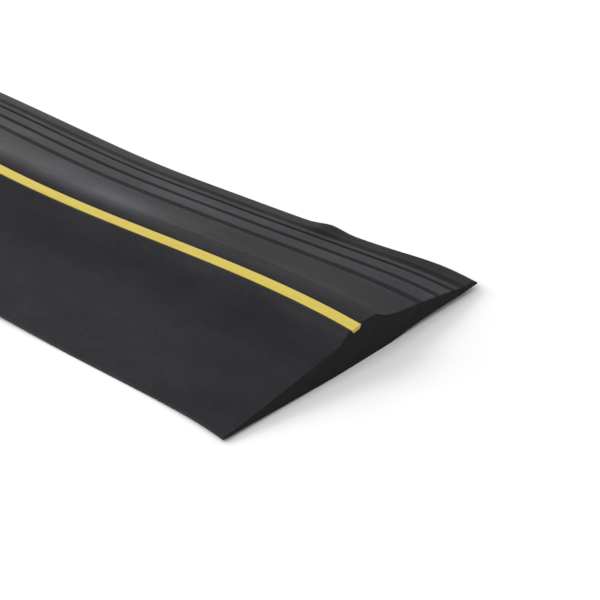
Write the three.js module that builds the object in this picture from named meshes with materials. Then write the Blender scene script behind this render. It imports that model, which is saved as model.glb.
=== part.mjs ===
// Floor threshold ramp: a flexible solid rubber strip with a low wedge section, and a yellow sight
// stripe set in a groove beside the crest. Millimetres, +Z up. X runs along the strip and +Y points
// from the thin front apron to the grooved rear flank. The origin is on the floor, under the middle.

import * as THREE from 'three';

const LENGTH = 1000;
const WIDTH = 107;

// Places across the section are measured back from the front edge, heights up from the floor.

// Underside: a flat foot under the crest, and a shallow hollow under each flap, whose edge rests
// on the floor.
const FOOT_FRONT = 42.5;
const FOOT_REAR = 68;
const FRONT_HOLLOW = { from: 39, height: 0.5 };
const REAR_HOLLOW = { from: 80, height: 0.3 };

// Front apron: a thin straight flap with a bevelled nose, which sweeps up into the steep face below
// the crest.
const FRONT_TIP_THICKNESS = 0.2;
const NOSE = { from: 1, height: 0.6 };
const APRON_END = { from: 31, height: 3.95 };
const APRON_SWEEP = { from: 42, height: 5.3 };
const SHOULDER = { from: 46.5, height: 10.3 };

// Crest: the highest line of the strip, between the stripe and the dish.
const CREST_HEIGHT = 12.2;
const CREST_FRONT_HEIGHT = 11.95;
const CREST_REAR = { from: 60.3, height: 11.95 };

// Stripe: a strip of trapezium section, narrower at its base and tilted a little to the front, with
// clearance all round in its groove.
const STRIPE_FRONT = 49.4;
const STRIPE_WIDTH = 3.8;
const STRIPE_BASE_INSET = 0.6;
const STRIPE_THICKNESS = 1.1;
const STRIPE_TOP_HEIGHT = 11.5;
const STRIPE_RISE = 0.4;
const STRIPE_CROWN = 0.1;
const STRIPE_CLEARANCE = 0.3;

// Rear side: a shallow dish behind the crest, then a straight flank with four grooves across its
// fall, down to a thin lip. A groove is deepest just behind its front rim and rises to its rear rim.
const REAR_EDGE_THICKNESS = 0.3;
const LIP_SHOULDER = { from: 105.5, height: 1.2 };
const DISH_SWEEP = { from: 66, height: 8.3 };
const FLANK_TOP = { from: 77.8, height: 6.6 };
const FLANK_FALL = 0.203;
const GROOVES = [
  { from: 77.8, width: 2.9, depth: 0.85 },
  { from: 86.5, width: 2.3, depth: 0.85 },
  { from: 94, width: 1.8, depth: 0.85 },
  { from: 98, width: 3, depth: 0.7 },
];
const GROOVE_FRONT_RUN = 0.4;

const CURVE_SEGMENTS = 8;

const stripeGroove = {
  front: STRIPE_FRONT - STRIPE_CLEARANCE,
  rear: STRIPE_FRONT + STRIPE_WIDTH + STRIPE_CLEARANCE,
  frontFloor: STRIPE_TOP_HEIGHT - STRIPE_THICKNESS - STRIPE_CLEARANCE,
  rearFloor: STRIPE_TOP_HEIGHT + STRIPE_RISE - STRIPE_THICKNESS - STRIPE_CLEARANCE,
};

const rubber = new THREE.MeshStandardMaterial({ color: 0x2e2e30, roughness: 0.6, metalness: 0 });
const yellow = new THREE.MeshStandardMaterial({ color: 0xdecb62, roughness: 0.5, metalness: 0 });

// Height of the rear flank's straight fall at a place across the section.
function flankHeight(from) {
  return FLANK_TOP.height - FLANK_FALL * (from - FLANK_TOP.from);
}

function drawUnderside(outline) {
  outline.moveTo(0, 0);
  outline.lineTo(FRONT_HOLLOW.from, FRONT_HOLLOW.height);
  outline.lineTo(FOOT_FRONT, 0);
  outline.lineTo(FOOT_REAR, 0);
  outline.lineTo(REAR_HOLLOW.from, REAR_HOLLOW.height);
  outline.lineTo(WIDTH, 0);
}

// The lip, then the ribs and the grooves between them, from the rearmost to the first.
function drawRearFlank(outline) {
  outline.lineTo(WIDTH, REAR_EDGE_THICKNESS);
  outline.lineTo(LIP_SHOULDER.from, LIP_SHOULDER.height);
  for (const groove of [...GROOVES].reverse()) {
    const rear = groove.from + groove.width;
    const deepest = groove.from + GROOVE_FRONT_RUN;
    outline.lineTo(rear, flankHeight(rear));
    outline.lineTo(deepest, flankHeight(deepest) - groove.depth);
    outline.lineTo(groove.from, flankHeight(groove.from));
  }
  outline.quadraticCurveTo(DISH_SWEEP.from, DISH_SWEEP.height, CREST_REAR.from, CREST_REAR.height);
}

// A quadratic curve passes halfway between its chord and its control point, so the control point
// of the crest's arch stands twice as far above the chord as the crest line does.
function drawCrest(outline) {
  const middle = (CREST_REAR.from + stripeGroove.rear) / 2;
  const controlHeight = 2 * CREST_HEIGHT - (CREST_REAR.height + CREST_FRONT_HEIGHT) / 2;
  outline.quadraticCurveTo(middle, controlHeight, stripeGroove.rear, CREST_FRONT_HEIGHT);
  outline.lineTo(stripeGroove.rear - STRIPE_BASE_INSET, stripeGroove.rearFloor);
  outline.lineTo(stripeGroove.front + STRIPE_BASE_INSET, stripeGroove.frontFloor);
  outline.lineTo(stripeGroove.front, STRIPE_TOP_HEIGHT);
  outline.quadraticCurveTo(SHOULDER.from + 1, STRIPE_TOP_HEIGHT, SHOULDER.from, SHOULDER.height);
}

function drawFrontFace(outline) {
  outline.quadraticCurveTo(APRON_SWEEP.from, APRON_SWEEP.height, APRON_END.from, APRON_END.height);
  outline.lineTo(NOSE.from, NOSE.height);
  outline.lineTo(0, FRONT_TIP_THICKNESS);
  outline.closePath();
}

function rampOutline() {
  const outline = new THREE.Shape();
  drawUnderside(outline);
  drawRearFlank(outline);
  drawCrest(outline);
  drawFrontFace(outline);
  return outline;
}

function stripeOutline() {
  const rear = STRIPE_FRONT + STRIPE_WIDTH;
  const rearTop = STRIPE_TOP_HEIGHT + STRIPE_RISE;
  const crownHeight = (STRIPE_TOP_HEIGHT + rearTop) / 2 + STRIPE_CROWN;
  const outline = new THREE.Shape();
  outline.moveTo(STRIPE_FRONT + STRIPE_BASE_INSET, STRIPE_TOP_HEIGHT - STRIPE_THICKNESS);
  outline.lineTo(rear - STRIPE_BASE_INSET, rearTop - STRIPE_THICKNESS);
  outline.lineTo(rear, rearTop);
  outline.quadraticCurveTo((STRIPE_FRONT + rear) / 2, crownHeight, STRIPE_FRONT, STRIPE_TOP_HEIGHT);
  outline.closePath();
  return outline;
}

// Extrudes an outline along the strip: its first axis becomes Y, its second Z and its depth X.
function extrudeAlongStrip(name, outline, material) {
  const geometry = new THREE.ExtrudeGeometry(outline, {
    depth: LENGTH,
    steps: 1,
    curveSegments: CURVE_SEGMENTS,
    bevelEnabled: false,
  });
  const alongY = new THREE.Vector3(0, 1, 0);
  const alongZ = new THREE.Vector3(0, 0, 1);
  const alongX = new THREE.Vector3(1, 0, 0);
  geometry.applyMatrix4(new THREE.Matrix4().makeBasis(alongY, alongZ, alongX));
  const mesh = new THREE.Mesh(geometry, material);
  mesh.name = name;
  return mesh;
}

const ramp = new THREE.Group();
ramp.add(extrudeAlongStrip('rubber_ramp', rampOutline(), rubber));
ramp.add(extrudeAlongStrip('yellow_stripe', stripeOutline(), yellow));
ramp.position.set(-LENGTH / 2, -WIDTH / 2, 0);

export default ramp;
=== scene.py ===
"""Floor threshold ramp: one metre of black rubber strip with a yellow sight stripe.

The strip lies loose on a studio floor. Everything up to the materials is in millimetres, and laid()
turns it into metres. Places across the section are measured from the front edge, heights from the
floor, and places along the strip from the right-hand cut end.
"""
import math

import bmesh
import bpy
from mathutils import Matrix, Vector


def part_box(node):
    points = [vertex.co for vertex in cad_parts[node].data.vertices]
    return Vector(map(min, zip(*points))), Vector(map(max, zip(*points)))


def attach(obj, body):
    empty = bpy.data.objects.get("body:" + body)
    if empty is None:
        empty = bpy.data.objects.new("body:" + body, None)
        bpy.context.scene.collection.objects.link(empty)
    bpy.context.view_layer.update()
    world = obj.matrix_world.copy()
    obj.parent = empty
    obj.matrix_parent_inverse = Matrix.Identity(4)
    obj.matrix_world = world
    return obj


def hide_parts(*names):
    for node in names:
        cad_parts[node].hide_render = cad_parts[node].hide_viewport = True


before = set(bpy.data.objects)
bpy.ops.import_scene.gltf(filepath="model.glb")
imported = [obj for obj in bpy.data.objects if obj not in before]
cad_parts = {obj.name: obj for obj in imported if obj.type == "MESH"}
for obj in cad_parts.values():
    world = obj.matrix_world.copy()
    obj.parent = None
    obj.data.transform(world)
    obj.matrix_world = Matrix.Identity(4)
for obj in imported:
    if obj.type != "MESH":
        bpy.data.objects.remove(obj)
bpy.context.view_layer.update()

MM = 0.001

RAMP_LOW, RAMP_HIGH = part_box("rubber_ramp")
LENGTH = (RAMP_HIGH.x - RAMP_LOW.x) / MM
WIDTH = (RAMP_HIGH.y - RAMP_LOW.y) / MM
CREST_HEIGHT = RAMP_HIGH.z / MM

# ---------------------------------------------------------------------------------------------
# Section
# ---------------------------------------------------------------------------------------------
# Points are (place across, height). Grooves are (front rim, width, depth), and each radius rounds
# the edge that it is named after.
FRONT_TIP_THICKNESS = 0.2
FEATHER_RADIUS = 0.1
NOSE = (1, 0.6)
NOSE_RADIUS = 0.8
APRON_END = (31, 3.95)
APRON_RADIUS = 6
APRON_SWEEP = (42, 5.3)
SHOULDER = (46.5, 10.3)
SHOULDER_SWELL = 1

CREST_DROP = 0.25
CREST_FRONT_HEIGHT = CREST_HEIGHT - CREST_DROP
CREST_REAR = (60.3, CREST_HEIGHT - CREST_DROP)
CREST_REAR_RADIUS = 3

STRIPE_FRONT = 49.4
STRIPE_WIDTH = 3.8
STRIPE_BASE_INSET = 0.6
STRIPE_THICKNESS = 1.1
STRIPE_TOP_HEIGHT = 11.5
STRIPE_RISE = 0.4
STRIPE_CROWN = 0.08
STRIPE_BASE_RADIUS = 0.25
STRIPE_TOP_RADIUS = 0.12
BOND_LINE = 0.06

SLOT_MOUTH_WIDTH = 0.14
SLOT_MOUTH_DEPTH = 0.25
SLOT_FRONT_RIM_DROP = 0.02
SLOT_RIM_RADIUS = 0.15
SLOT_WALL_RADIUS = 0.1
SLOT_FLOOR_RADIUS = 0.2

REAR_EDGE_THICKNESS = 0.3
REAR_EDGE_RADIUS = 0.15
LIP_SHOULDER = (105.5, 1.2)
LIP_RADIUS = 1.5
DISH_SWEEP = (66, 8.3)
FLANK_TOP = (77.8, 6.6)
FLANK_FALL = 0.203
GROOVES = ((77.8, 2.9, 0.85), (86.5, 2.3, 0.85), (94, 1.8, 0.85), (98, 3, 0.7))
GROOVE_FRONT_RUN = 0.4
GROOVE_FRONT_RADIUS = 0.2
GROOVE_FLOOR_RADIUS = 0.25
GROOVE_REAR_RADIUS = 0.3

FOOT_FRONT = 42.5
FOOT_REAR = 68
FRONT_HOLLOW = (39, 0.5)
FRONT_HOLLOW_RADIUS = 4
REAR_HOLLOW = (80, 0.3)
REAR_HOLLOW_RADIUS = 20
UNDERSIDE_HIGHEST = 0.6

CURVE_STEPS = 16
ARC_STEPS = 4
LONGEST_EDGE = 2.5
FLATTEST_CORNER = math.radians(0.5)
ROUNDED_SHARE = 0.48


def flank_height(place):
    """Height of the rear flank's straight fall."""
    return FLANK_TOP[1] - FLANK_FALL * (place - FLANK_TOP[0])


def sweep(start, control, end):
    """Points inside a quadratic curve, without its two ends, as corners with no radius."""
    points = []
    for step in range(1, CURVE_STEPS):
        t = step / CURVE_STEPS
        weights = ((1 - t) ** 2, 2 * t * (1 - t), t * t)
        y = sum(w * p[0] for w, p in zip(weights, (start, control, end)))
        z = sum(w * p[1] for w, p in zip(weights, (start, control, end)))
        points.append((y, z, 0))
    return points


def rounded(corners):
    """Turns each (y, z, radius) corner of a closed outline into an arc, or keeps it as a point.

    An arc takes no more than ROUNDED_SHARE of the edges beside it.
    """
    outline = []
    for index, (y, z, radius) in enumerate(corners):
        corner = Vector((y, z))
        back = Vector(corners[index - 1][:2]) - corner
        ahead = Vector(corners[(index + 1) % len(corners)][:2]) - corner
        half_turn = (math.pi - back.angle(ahead)) / 2
        if radius == 0 or half_turn < FLATTEST_CORNER:
            outline.append(corner)
            continue
        reach = min(
            radius * math.tan(half_turn),
            back.length * ROUNDED_SHARE,
            ahead.length * ROUNDED_SHARE,
        )
        first = corner + back.normalized() * reach
        last = corner + ahead.normalized() * reach
        for step in range(ARC_STEPS + 1):
            t = step / ARC_STEPS
            outline.append(first * (1 - t) ** 2 + corner * 2 * t * (1 - t) + last * t * t)
    return outline


def subdivided(outline):
    """Splits the long edges of a closed outline so that it can bend."""
    points = []
    for index, point in enumerate(outline):
        following = outline[(index + 1) % len(outline)]
        pieces = max(1, math.ceil((following - point).length / LONGEST_EDGE))
        points += [point.lerp(following, step / pieces) for step in range(pieces)]
    return points


def underside_corners():
    """The foot and the hollow under each flap, from the front tip to the rear edge."""
    return [
        (0, 0, FEATHER_RADIUS),
        (*FRONT_HOLLOW, FRONT_HOLLOW_RADIUS),
        (FOOT_FRONT, 0, FRONT_HOLLOW_RADIUS),
        (FOOT_REAR, 0, REAR_HOLLOW_RADIUS),
        (*REAR_HOLLOW, REAR_HOLLOW_RADIUS),
        (WIDTH, 0, FEATHER_RADIUS),
    ]


def rear_corners():
    """The lip, the grooved flank and the dish, from the rear edge up to the rear of the crest."""
    corners = [
        (WIDTH, REAR_EDGE_THICKNESS, REAR_EDGE_RADIUS),
        (*LIP_SHOULDER, LIP_RADIUS),
    ]
    for front, width, depth in reversed(GROOVES):
        rear = front + width
        deepest = front + GROOVE_FRONT_RUN
        corners += [
            (rear, flank_height(rear), GROOVE_REAR_RADIUS),
            (deepest, flank_height(deepest) - depth, GROOVE_FLOOR_RADIUS),
            (front, flank_height(front), GROOVE_FRONT_RADIUS),
        ]
    corners += sweep(FLANK_TOP, DISH_SWEEP, CREST_REAR)
    corners.append((*CREST_REAR, CREST_REAR_RADIUS))
    return corners


def crest_corners():
    """The crest and the stripe's slot, from the rear of the crest to the shoulder before it."""
    slot_front = STRIPE_FRONT - BOND_LINE
    slot_rear = STRIPE_FRONT + STRIPE_WIDTH + BOND_LINE
    slot_floor = STRIPE_TOP_HEIGHT - STRIPE_THICKNESS - BOND_LINE
    rear_rim = (slot_rear + SLOT_MOUTH_WIDTH, CREST_FRONT_HEIGHT)
    front_rim = (slot_front - SLOT_MOUTH_WIDTH, STRIPE_TOP_HEIGHT - SLOT_FRONT_RIM_DROP)
    crest_control = (
        (CREST_REAR[0] + rear_rim[0]) / 2,
        2 * CREST_HEIGHT - (CREST_REAR[1] + CREST_FRONT_HEIGHT) / 2,
    )
    corners = sweep(CREST_REAR, crest_control, rear_rim)
    corners += [
        (*rear_rim, SLOT_RIM_RADIUS),
        (slot_rear, rear_rim[1] - SLOT_MOUTH_DEPTH, SLOT_WALL_RADIUS),
        (slot_rear - STRIPE_BASE_INSET, slot_floor + STRIPE_RISE, SLOT_FLOOR_RADIUS),
        (slot_front + STRIPE_BASE_INSET, slot_floor, SLOT_FLOOR_RADIUS),
        (slot_front, front_rim[1] - SLOT_MOUTH_DEPTH, SLOT_WALL_RADIUS),
        (*front_rim, SLOT_RIM_RADIUS),
    ]
    corners += sweep(front_rim, (SHOULDER[0] + SHOULDER_SWELL, STRIPE_TOP_HEIGHT), SHOULDER)
    corners.append((*SHOULDER, 0))
    return corners


def front_corners():
    """The steep face and the apron, from the shoulder down to the front tip."""
    corners = sweep(SHOULDER, APRON_SWEEP, APRON_END)
    corners += [
        (*APRON_END, APRON_RADIUS),
        (*NOSE, NOSE_RADIUS),
        (0, FRONT_TIP_THICKNESS, FEATHER_RADIUS),
    ]
    return corners


def ramp_section():
    """The rubber's outline, anticlockwise from the front tip, with every moulded edge softened."""
    corners = underside_corners() + rear_corners() + crest_corners() + front_corners()
    return subdivided(rounded(corners))


def stripe_section():
    """The stripe's outline: a keyed trapezium with a faintly crowned top."""
    rear = STRIPE_FRONT + STRIPE_WIDTH
    rear_top = STRIPE_TOP_HEIGHT + STRIPE_RISE
    middle = (STRIPE_FRONT + rear) / 2
    crown = (middle, (STRIPE_TOP_HEIGHT + rear_top) / 2 + 2 * STRIPE_CROWN)
    corners = [
        (
            STRIPE_FRONT + STRIPE_BASE_INSET,
            STRIPE_TOP_HEIGHT - STRIPE_THICKNESS,
            STRIPE_BASE_RADIUS,
        ),
        (rear - STRIPE_BASE_INSET, rear_top - STRIPE_THICKNESS, STRIPE_BASE_RADIUS),
        (rear, rear_top, STRIPE_TOP_RADIUS),
        *sweep((rear, rear_top), crown, (STRIPE_FRONT, STRIPE_TOP_HEIGHT)),
        (STRIPE_FRONT, STRIPE_TOP_HEIGHT, STRIPE_TOP_RADIUS),
    ]
    return rounded(corners)


# ---------------------------------------------------------------------------------------------
# How the strip lies
# ---------------------------------------------------------------------------------------------
# Humps are (place along the strip, height, reach). Sideways, a hump to the rear is positive.
SIDEWAYS_HUMPS = ((125, -7.1, 82), (293, 2, 58), (560, -1.5, 120), (850, 2.2, 130))
FRONT_FLAP_LIFT = ((0, 0.8, 32), (108, 1.0, 36), (420, 0.7, 45), (655, 1.9, 60), (1000, 2.2, 50))
FRONT_FLAP_PULL = ((0, 0.9, 32), (108, 1.6, 36), (520, -0.7, 90), (800, 0.6, 70))
REAR_FLAP_LIFT = ((0, 1.4, 34), (102, 0.3, 26), (365, 0.9, 50), (700, 0.6, 35), (985, 1.3, 40))
REAR_FLAP_PULL = ((0, 1.0, 32), (640, -0.6, 70))
LIP_RIPPLE = ((14, 0.95, 18), (58, 1.3, 5.5), (480, 0.8, 20), (795, 1.2, 16), (905, 0.7, 11))

# The right-hand end also swings forward, by END_SWING at the very end, and its cut leaves the
# front tip CUT_BACK short. Both die out along the strip within a few times their reach.
END_SWING = 7.1
END_SWING_REACH = 41.6
CUT_BACK = 1.2
CUT_BACK_REACH = 20

# Places across at which each flap bends up from the foot, and where the rear one straightens.
FRONT_FLAP_HINGE = 52
FRONT_FLAP_CURVE = 1.15
REAR_FLAP_HINGE = 66
REAR_FLAP_STRAIGHT = 100
LIP_HINGE = 98
LIP_WIDTH = 9


def humps(rows, along):
    """Sum of smooth bell-shaped humps at a place along the strip."""
    return sum(
        height * math.exp(-(((along - place) / reach) ** 2)) for place, height, reach in rows
    )


def clamp(value):
    """The value, kept between 0 and 1."""
    return min(1.0, max(0.0, value))


def front_share(place):
    """How much of the front flap's lift and pull a place across the section takes."""
    return clamp(1 - place / FRONT_FLAP_HINGE) ** FRONT_FLAP_CURVE


def rear_share(place):
    """How much of the rear flap's lift and pull a place across the section takes."""
    bent = clamp((place - REAR_FLAP_HINGE) / (REAR_FLAP_STRAIGHT - REAR_FLAP_HINGE))
    return 1 - (1 - bent) ** 2


def lip_share(place):
    """How much of the lip's ripple a place across takes, with the last groove as its hinge."""
    return clamp((place - LIP_HINGE) / LIP_WIDTH)


def sideways_bow(along):
    """How far the whole section stands to the rear of its straight place."""
    return humps(SIDEWAYS_HUMPS, along) - END_SWING * math.exp(-along / END_SWING_REACH)


def laid(along, place, height):
    """Where a point of the section ends up, in metres, on the strip as it lies."""
    lift = (
        front_share(place) * humps(FRONT_FLAP_LIFT, along)
        + rear_share(place) * humps(REAR_FLAP_LIFT, along)
        + lip_share(place) * humps(LIP_RIPPLE, along)
    )
    sideways = (
        sideways_bow(along)
        + front_share(place) * humps(FRONT_FLAP_PULL, along)
        + rear_share(place) * humps(REAR_FLAP_PULL, along)
    )
    shortening = CUT_BACK * clamp(1 - place / FOOT_FRONT) * math.exp(-along / CUT_BACK_REACH)
    x = RAMP_HIGH.x - (along + shortening) * MM
    y = RAMP_LOW.y + (place + sideways) * MM
    return Vector((x, y, max(0.0, height + lift) * MM))


# ---------------------------------------------------------------------------------------------
# Painted light and bloom on the skin
# ---------------------------------------------------------------------------------------------
# Patches are (place along the strip, place across, reach along, reach across, strength), and each
# lightens the rubber by its strength, or darkens it when the strength is below zero. Near the
# right-hand end they are painted highlights and painted shade; on the long remainder, patchy bloom.
PAINTED_LIGHT_AND_BLOOM_PATCHES = (
    # behind the crest, near the right-hand end
    (113, 64, 19, 8, 3.1),
    (150, 68, 26, 10, 1.2),
    (70, 65, 22, 6, -0.9),
    # on the ribs there
    (0, 88, 28, 10, 1.3),
    (70, 91, 22, 5, 0.6),
    (105, 86, 26, 8, 0.9),
    # on the lip
    (32, 105, 32, 6, -0.9),
    (210, 101, 46, 8, -0.9),
    # on the apron and the shoulder
    (62, 14, 40, 24, 0.45),
    (30, 47.5, 60, 1.8, 0.5),
    # on the rear side of the long remainder
    (330, 64, 60, 8, 0.8),
    (520, 88, 80, 10, -0.4),
    (700, 64, 50, 9, 1.0),
    (880, 100, 60, 8, -0.5),
    # on the apron of the long remainder
    (260, 20, 50, 20, 0.3),
    (480, 12, 60, 18, 0.35),
    (760, 24, 70, 20, 0.4),
    (950, 10, 40, 15, 0.3),
    # on the crest
    (125, 55.5, 30, 4, -0.8),
    (50, 56.5, 32, 3, 0.45),
    # between and on the ribs
    (12, 97, 14, 2.5, 0.7),
    (165, 94.8, 55, 1.0, 1.4),
    (60, 87, 30, 7, 0.35),
)
PAINTED_LIGHT_AND_BLOOM_LEAST = 0.15


def painted_light_and_bloom(along, place):
    """Painted highlight, painted shade and bloom at a place, as a multiple of the usual colour."""
    total = sum(
        strength
        * math.exp(
            -(((along - patch_along) / reach_along) ** 2)
            - ((place - patch_across) / reach_across) ** 2
        )
        for patch_along, patch_across, reach_along, reach_across, strength in PAINTED_LIGHT_AND_BLOOM_PATCHES
    )
    return max(PAINTED_LIGHT_AND_BLOOM_LEAST, 1 + total)


def in_a_groove(place):
    """Whether a place across lies between the rims of one of the grooves."""
    return any(front <= place <= front + width for front, width, _ in GROOVES)


def groove_depth(place, height):
    """How deep a point of the section lies in one of the grooves."""
    if height < UNDERSIDE_HIGHEST or not in_a_groove(place):
        return 0.0
    return max(0.0, flank_height(place) - height)


# ---------------------------------------------------------------------------------------------
# Meshes
# ---------------------------------------------------------------------------------------------
# Steps between rings along the strip, fine for FINE_REACH from the right-hand end.
FINE_STEP = 2.5
FINE_REACH = 270
COARSE_STEP = 6
CLEAR_OF_CUT = 1.0
SHARP_ANGLE = math.radians(40)

# The (distance from the end, growth of the outline) of the rings that round each cut edge.
RAMP_CUT_EDGE = ((0, -0.08), (0.05, -0.02), (0.15, 0.04), (0.5, 0.06), (1.1, 0.02), (2, 0))
STRIPE_CUT_EDGE = ((0, -0.05), (0.05, -0.01), (0.15, 0))
GROWTH_SHARE_OF_RADIUS = 0.6
SMALLEST_TURN = 0.001  # radians

# Material index of each kind of face.
MOULDED_FACE = 0
CUT_FACE = 1


def stations(cut_edge):
    """(place along, growth of the outline) of each ring, from the right-hand end to the left."""
    last = cut_edge[-1][0]
    rings = list(cut_edge)
    place = last + CLEAR_OF_CUT
    while place < LENGTH - last - CLEAR_OF_CUT:
        rings.append((place, 0.0))
        place += FINE_STEP if place < FINE_REACH else COARSE_STEP
    return rings + [(LENGTH - from_end, growth) for from_end, growth in reversed(cut_edge)]


def grown(outline, amount):
    """Moves the points of an anticlockwise outline outwards, and less where it turns tightly."""
    moved = []
    for index, point in enumerate(outline):
        before = point - outline[index - 1]
        after = outline[(index + 1) % len(outline)] - point
        outwards = Vector((before.y + after.y, -before.x - after.x)).normalized()
        turn = before.angle(after, 0)
        radius = (before.length + after.length) / 2 / max(turn, SMALLEST_TURN)
        step = min(abs(amount), radius * GROWTH_SHARE_OF_RADIUS)
        moved.append(point + outwards * math.copysign(step, amount))
    return moved


def add_rings(mesh, outline, cut_edge):
    """Adds the outline's points at each station, and stores what the materials need at each."""
    across_layer = mesh.verts.layers.float.new("across")
    painted_light_and_bloom_layer = mesh.verts.layers.float.new("painted_light_and_bloom")
    groove_layer = mesh.verts.layers.float.new("groove_depth")
    rings = []
    for along, growth in stations(cut_edge):
        points = grown(outline, growth) if growth else outline
        ring = []
        for place, height in points:
            vertex = mesh.verts.new(laid(along, place, height))
            vertex[across_layer] = place
            # Painted highlights, painted shade and bloom for the moulded rubber's colour.
            vertex[painted_light_and_bloom_layer] = painted_light_and_bloom(along, place)
            vertex[groove_layer] = groove_depth(place, height)
            ring.append(vertex)
        rings.append(ring)
    return rings


def join_rings(mesh, rings):
    """Adds the skin between the rings and a flat cap at each end."""
    count = len(rings[0])
    for ring, following in zip(rings, rings[1:]):
        for index in range(count):
            after = (index + 1) % count
            mesh.faces.new((ring[index], following[index], following[after], ring[after]))
    caps = [mesh.faces.new(rings[0]), mesh.faces.new(list(reversed(rings[-1])))]
    for cap in caps:
        cap.material_index = CUT_FACE
    bmesh.ops.triangulate(mesh, faces=caps)


def shade_smooth(mesh):
    """Shades the moulded skin smooth between its sharp edges, and the caps flat."""
    mesh.normal_update()
    for edge in mesh.edges:
        faces = edge.link_faces
        edge.smooth = len(faces) == 2 and faces[0].normal.angle(faces[1].normal, 0) < SHARP_ANGLE
    for face in mesh.faces:
        face.smooth = face.material_index == MOULDED_FACE


def swept_piece(name, outline, cut_edge, materials):
    """Sweeps an outline along the strip as it lies, with a moulded and a cut material."""
    mesh = bmesh.new()
    join_rings(mesh, add_rings(mesh, outline, cut_edge))
    shade_smooth(mesh)
    data = bpy.data.meshes.new(name)
    mesh.to_mesh(data)
    mesh.free()
    for material in materials:
        data.materials.append(material)
    piece = bpy.data.objects.new(name, data)
    bpy.context.scene.collection.objects.link(piece)
    return piece


# ---------------------------------------------------------------------------------------------
# Materials
# ---------------------------------------------------------------------------------------------
# Each colour is a (dark, light) pair, and a noise moves between them over NOISE_RANGE.
MOULDED_BLACK = ((0.0127, 0.0128, 0.0151), (0.0167, 0.0168, 0.0192))
CUT_BLACK = ((0.0158, 0.0159, 0.0177), (0.0203, 0.0203, 0.0219))
MOULDED_YELLOW = ((0.562, 0.438, 0.061), (0.624, 0.487, 0.077))
CUT_YELLOW = ((0.50, 0.38, 0.075), (0.56, 0.44, 0.105))
PALE_GREY = ((0.93, 0.93, 0.93), (0.95, 0.95, 0.95))
NOISE_RANGE = (0.3, 0.7)

# The rubber darkens to GROOVE_LIGHTNESS over a range of depths in a groove, as painted shade.
# Along the front edge it is lighter, by FRONT_RIM_LIGHTNESS, as a painted highlight, which dies out
# over a range of places across. Both ranges are in millimetres.
GROOVE_LIGHTNESS = 0.45
GROOVE_SHADE_RANGE = (0.0, 0.12)
FRONT_RIM_LIGHTNESS = 1.5
FRONT_RIM_RANGE = (0.4, 1.2)

# Depths of the fine relief, in metres.
DIE_LINE_DEPTH = 0.00004
GRAIN_DEPTH = 0.00003
KNIFE_MARK_DEPTH = 0.00006


def new_material(name):
    """A new material with its nodes and links."""
    material = bpy.data.materials.new(name)
    material.use_nodes = True
    return material, material.node_tree.nodes, material.node_tree.links


def noise(nodes, links, coordinates, stretch, detail=3.0, roughness=0.55):
    """Noise with the given number of blotches per metre along X, Y and Z, as a factor."""
    mapping = nodes.new("ShaderNodeMapping")
    mapping.inputs["Scale"].default_value = stretch
    links.new(coordinates, mapping.inputs["Vector"])
    texture = nodes.new("ShaderNodeTexNoise")
    texture.inputs["Scale"].default_value = 1.0
    texture.inputs["Detail"].default_value = detail
    texture.inputs["Roughness"].default_value = roughness
    links.new(mapping.outputs["Vector"], texture.inputs["Vector"])
    return texture.outputs["Fac"]


def colour_between(nodes, links, factor, colours):
    """Moves from the first colour to the second as a noise goes through NOISE_RANGE."""
    ramp = nodes.new("ShaderNodeValToRGB")
    for element, position, colour in zip(ramp.color_ramp.elements, NOISE_RANGE, colours):
        element.position = position
        element.color = (*colour, 1)
    links.new(factor, ramp.inputs["Fac"])
    return ramp.outputs["Color"]


def value_between(nodes, links, factor, first, last, over=NOISE_RANGE):
    """Moves from the first value to the last as the factor goes through a range."""
    mapped = nodes.new("ShaderNodeMapRange")
    mapped.inputs["From Min"].default_value = over[0]
    mapped.inputs["From Max"].default_value = over[1]
    mapped.inputs["To Min"].default_value = first
    mapped.inputs["To Max"].default_value = last
    links.new(factor, mapped.inputs["Value"])
    return mapped.outputs["Result"]


def attribute(nodes, name):
    """The value that add_rings stored at each point of the mesh under this name."""
    node = nodes.new("ShaderNodeAttribute")
    node.attribute_name = name
    return node.outputs["Fac"]


def product(nodes, links, factors):
    """The factors multiplied together."""
    total = factors[0]
    for factor in factors[1:]:
        multiply = nodes.new("ShaderNodeMath")
        multiply.operation = "MULTIPLY"
        links.new(total, multiply.inputs[0])
        links.new(factor, multiply.inputs[1])
        total = multiply.outputs["Value"]
    return total


def scaled_colour(nodes, links, colour, scale):
    """A colour made lighter or darker by a factor."""
    scaling = nodes.new("ShaderNodeVectorMath")
    scaling.operation = "SCALE"
    links.new(colour, scaling.inputs["Vector"])
    links.new(scale, scaling.inputs["Scale"])
    return scaling.outputs["Vector"]


def add_bump(nodes, links, height, distance, strength, before=None):
    """Relief of the given depth, on top of the relief before it."""
    bump = nodes.new("ShaderNodeBump")
    bump.inputs["Strength"].default_value = strength
    bump.inputs["Distance"].default_value = distance
    links.new(height, bump.inputs["Height"])
    if before is not None:
        links.new(before, bump.inputs["Normal"])
    return bump.outputs["Normal"]


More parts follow.
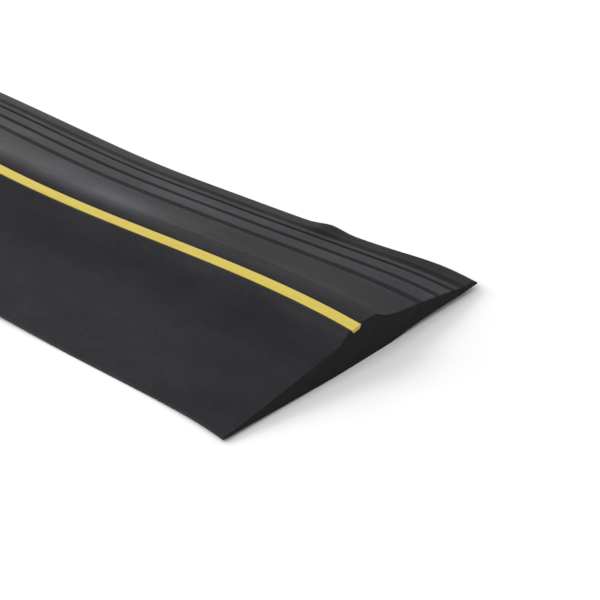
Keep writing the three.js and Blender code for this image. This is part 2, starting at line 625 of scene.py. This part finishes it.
def moulded_rubber():
    """Satin black rubber: fine grain, faint extrusion lines, patchy bloom, painted highlights and
    shade.
    """
    material, nodes, links = new_material("moulded_black_rubber")
    shader = nodes["Principled BSDF"]
    shader.inputs["Specular IOR Level"].default_value = 0.06
    place = nodes.new("ShaderNodeTexCoord").outputs["Object"]
    in_groove = attribute(nodes, "groove_depth")
    across = attribute(nodes, "across")

    haze = noise(nodes, links, place, (14, 30, 30), detail=4)
    colour = colour_between(nodes, links, haze, MOULDED_BLACK)
    smudges = noise(nodes, links, place, (55, 95, 95), detail=5, roughness=0.65)
    speckle = noise(nodes, links, place, (1300, 1300, 1300), detail=2)
    lightness = product(nodes, links, (
        # painted highlights and painted shade near the right-hand end, bloom further along
        attribute(nodes, "painted_light_and_bloom"),
        value_between(nodes, links, smudges, 0.84, 1.18),
        value_between(nodes, links, speckle, 0.84, 1.16),
        # painted shade in the grooves
        value_between(nodes, links, in_groove, 1.0, GROOVE_LIGHTNESS, GROOVE_SHADE_RANGE),
        # painted highlight along the front edge
        value_between(nodes, links, across, FRONT_RIM_LIGHTNESS, 1.0, FRONT_RIM_RANGE),
    ))
    links.new(scaled_colour(nodes, links, colour, lightness), shader.inputs["Base Color"])

    sheen_patches = noise(nodes, links, place, (30, 90, 90), detail=5)
    links.new(value_between(nodes, links, sheen_patches, 0.50, 0.60), shader.inputs["Roughness"])

    die_lines = noise(nodes, links, place, (3, 900, 900), detail=2)
    grain = noise(nodes, links, place, (2600, 2600, 2600), detail=2)
    normal = add_bump(nodes, links, die_lines, DIE_LINE_DEPTH, 0.25)
    normal = add_bump(nodes, links, grain, GRAIN_DEPTH, 0.45, normal)
    links.new(normal, shader.inputs["Normal"])
    return material


def cut_rubber():
    """The knife-cut end: duller than the moulded skin, with fine drag marks."""
    material, nodes, links = new_material("cut_black_rubber")
    shader = nodes["Principled BSDF"]
    shader.inputs["Specular IOR Level"].default_value = 0.066
    place = nodes.new("ShaderNodeTexCoord").outputs["Object"]
    blotches = noise(nodes, links, place, (200, 200, 400), detail=4)
    colour = colour_between(nodes, links, blotches, CUT_BLACK)
    links.new(colour, shader.inputs["Base Color"])
    shader.inputs["Roughness"].default_value = 0.85
    drag = noise(nodes, links, place, (1000, 250, 3200), detail=2)
    links.new(add_bump(nodes, links, drag, KNIFE_MARK_DEPTH, 0.5), shader.inputs["Normal"])
    return material


def yellow_rubber(name, colours):
    """Satin yellow rubber with a slight mottle and faint lines along it."""
    material, nodes, links = new_material(name)
    shader = nodes["Principled BSDF"]
    shader.inputs["Specular IOR Level"].default_value = 0.3
    place = nodes.new("ShaderNodeTexCoord").outputs["Object"]
    mottle = noise(nodes, links, place, (160, 500, 500), detail=4)
    links.new(colour_between(nodes, links, mottle, colours), shader.inputs["Base Color"])
    links.new(value_between(nodes, links, mottle, 0.5, 0.62), shader.inputs["Roughness"])
    lines = noise(nodes, links, place, (6, 1600, 1600), detail=2)
    grain = noise(nodes, links, place, (2600, 2600, 2600), detail=2)
    normal = add_bump(nodes, links, lines, DIE_LINE_DEPTH, 0.2)
    normal = add_bump(nodes, links, grain, GRAIN_DEPTH, 0.35, normal)
    links.new(normal, shader.inputs["Normal"])
    return material


def floor_material():
    """Matt pale grey with a faint mottle."""
    material, nodes, links = new_material("pale_floor")
    shader = nodes["Principled BSDF"]
    shader.inputs["Roughness"].default_value = 0.9
    shader.inputs["Specular IOR Level"].default_value = 0.1
    place = nodes.new("ShaderNodeTexCoord").outputs["Object"]
    mottle = noise(nodes, links, place, (3, 3, 3), detail=3)
    links.new(colour_between(nodes, links, mottle, PALE_GREY), shader.inputs["Base Color"])
    return material


# ---------------------------------------------------------------------------------------------
# Pieces
# ---------------------------------------------------------------------------------------------
ramp = swept_piece(
    "rubber_ramp_skin",
    ramp_section(),
    RAMP_CUT_EDGE,
    (moulded_rubber(), cut_rubber()),
)
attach(ramp, "root")
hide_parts("rubber_ramp")

stripe = swept_piece(
    "yellow_sight_stripe",
    stripe_section(),
    STRIPE_CUT_EDGE,
    (
        yellow_rubber("moulded_yellow_rubber", MOULDED_YELLOW),
        yellow_rubber("cut_yellow_rubber", CUT_YELLOW),
    ),
)
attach(stripe, "root")
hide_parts("yellow_stripe")

# ---------------------------------------------------------------------------------------------
# Floor, light and camera
# ---------------------------------------------------------------------------------------------
# Sizes and distances are in metres, and lamp powers in watts.
FLOOR_SIZE = 30

WORLD_BRIGHTNESS = 0.6
LIGHT_DISTANCE = 2.5
LIT_POINT = Vector((RAMP_HIGH.x - 0.1, 0, 0))
# (name, bearing, elevation, width, height, power) of each lamp. A bearing is in degrees from
# straight behind the strip towards its left.
SOFT_BOXES = (
    ("front", 180, 45, 1.4, 1.4, 20),
    ("left_front", 125, 30, 1.4, 1.2, 22),
    ("left", 90, 38, 1.4, 1.2, 11),
    ("back", 41.6, 21, 1.2, 0.6, 8.1),
    ("low_left_back", 65, 4, 1.2, 0.3, 9.7),
)

AZIMUTH = math.radians(41.6)
ELEVATION = math.radians(29.4)
LENS = 84.5
SENSOR_WIDTH = 36
CLIP_START = 0.01
CLIP_END = 100
CAMERA_FROM_END = (0.2046, -0.2021, 0.2035)


def make_floor():
    """A plain floor that runs well past the view."""
    mesh = bmesh.new()
    bmesh.ops.create_grid(mesh, x_segments=1, y_segments=1, size=FLOOR_SIZE / 2)
    data = bpy.data.meshes.new("floor")
    mesh.to_mesh(data)
    mesh.free()
    floor = bpy.data.objects.new("floor", data)
    bpy.context.scene.collection.objects.link(floor)
    floor.data.materials.append(floor_material())


def soft_box(name, bearing, elevation, width, height, power):
    """A rectangular studio light aimed at the near end, itself out of view."""
    light = bpy.data.lights.new(name, "AREA")
    light.shape = "RECTANGLE"
    light.size = width
    light.size_y = height
    light.energy = power
    lamp = bpy.data.objects.new(name, light)
    turn, tilt = math.radians(bearing), math.radians(elevation)
    towards = Vector(
        (-math.sin(turn) * math.cos(tilt), math.cos(turn) * math.cos(tilt), math.sin(tilt))
    )
    lamp.location = LIT_POINT + towards * LIGHT_DISTANCE
    lamp.rotation_euler = (-towards).to_track_quat("-Z", "Y").to_euler()
    lamp.visible_camera = False
    bpy.context.scene.collection.objects.link(lamp)


def set_world(brightness):
    """An even white surround."""
    world = bpy.data.worlds.new("studio")
    world.use_nodes = True
    background = world.node_tree.nodes["Background"]
    background.inputs["Color"].default_value = (1, 1, 1, 1)
    background.inputs["Strength"].default_value = brightness
    bpy.context.scene.world = world


def make_camera():
    """Looks down on the right-hand cut end, with the strip running away to the left."""
    data = bpy.data.cameras.new("camera")
    data.lens = LENS
    data.sensor_width = SENSOR_WIDTH
    data.clip_start = CLIP_START
    data.clip_end = CLIP_END
    camera = bpy.data.objects.new("camera", data)
    bpy.context.scene.collection.objects.link(camera)
    front_corner = Vector((RAMP_HIGH.x, RAMP_LOW.y + sideways_bow(0) * MM, 0))
    camera.location = front_corner + Vector(CAMERA_FROM_END)
    forward = Vector(
        (
            -math.sin(AZIMUTH) * math.cos(ELEVATION),
            math.cos(AZIMUTH) * math.cos(ELEVATION),
            -math.sin(ELEVATION),
        )
    )
    camera.rotation_euler = forward.to_track_quat("-Z", "Y").to_euler()
    bpy.context.scene.camera = camera


make_floor()
set_world(WORLD_BRIGHTNESS)
for lamp in SOFT_BOXES:
    soft_box(*lamp)
make_camera()
bpy.context.scene.view_settings.view_transform = "Standard"
